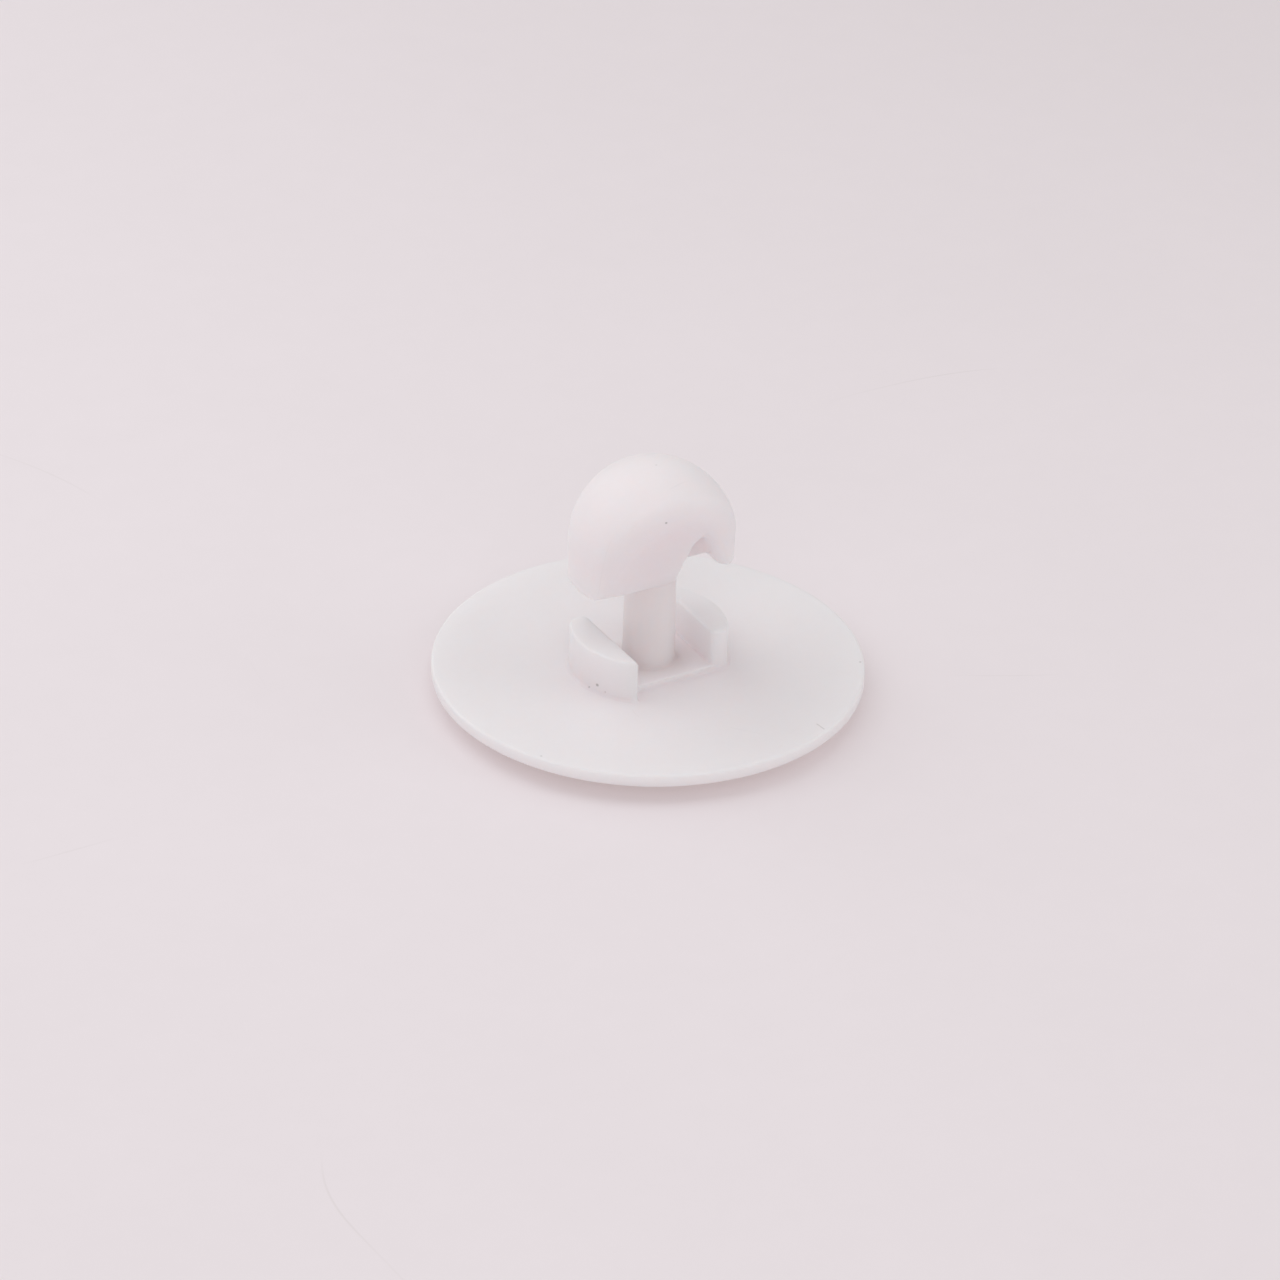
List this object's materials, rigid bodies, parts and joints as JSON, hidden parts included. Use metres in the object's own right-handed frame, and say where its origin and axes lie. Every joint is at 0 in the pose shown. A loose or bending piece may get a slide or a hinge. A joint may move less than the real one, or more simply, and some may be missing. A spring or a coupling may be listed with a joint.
{
  "type": "panel mounting clip",
  "caption": "Round cover disc with a short stem and a domed locking head on two arms; it is pushed through a panel hole and turned to lock.",
  "frame": {"origin": "lowest point of the domed visible face, in the middle of the disc", "axes": "+Z along the stem, from the visible face to the locking head; the two arms of the head lie along X"},
  "size_m": [0.02, 0.02, 0.012],
  "materials": {
    "white_plastic": "fine satin, as moulded"
  },
  "bodies": {
    "root": {"clip": "white_plastic"}
  },
  "joints": []
}
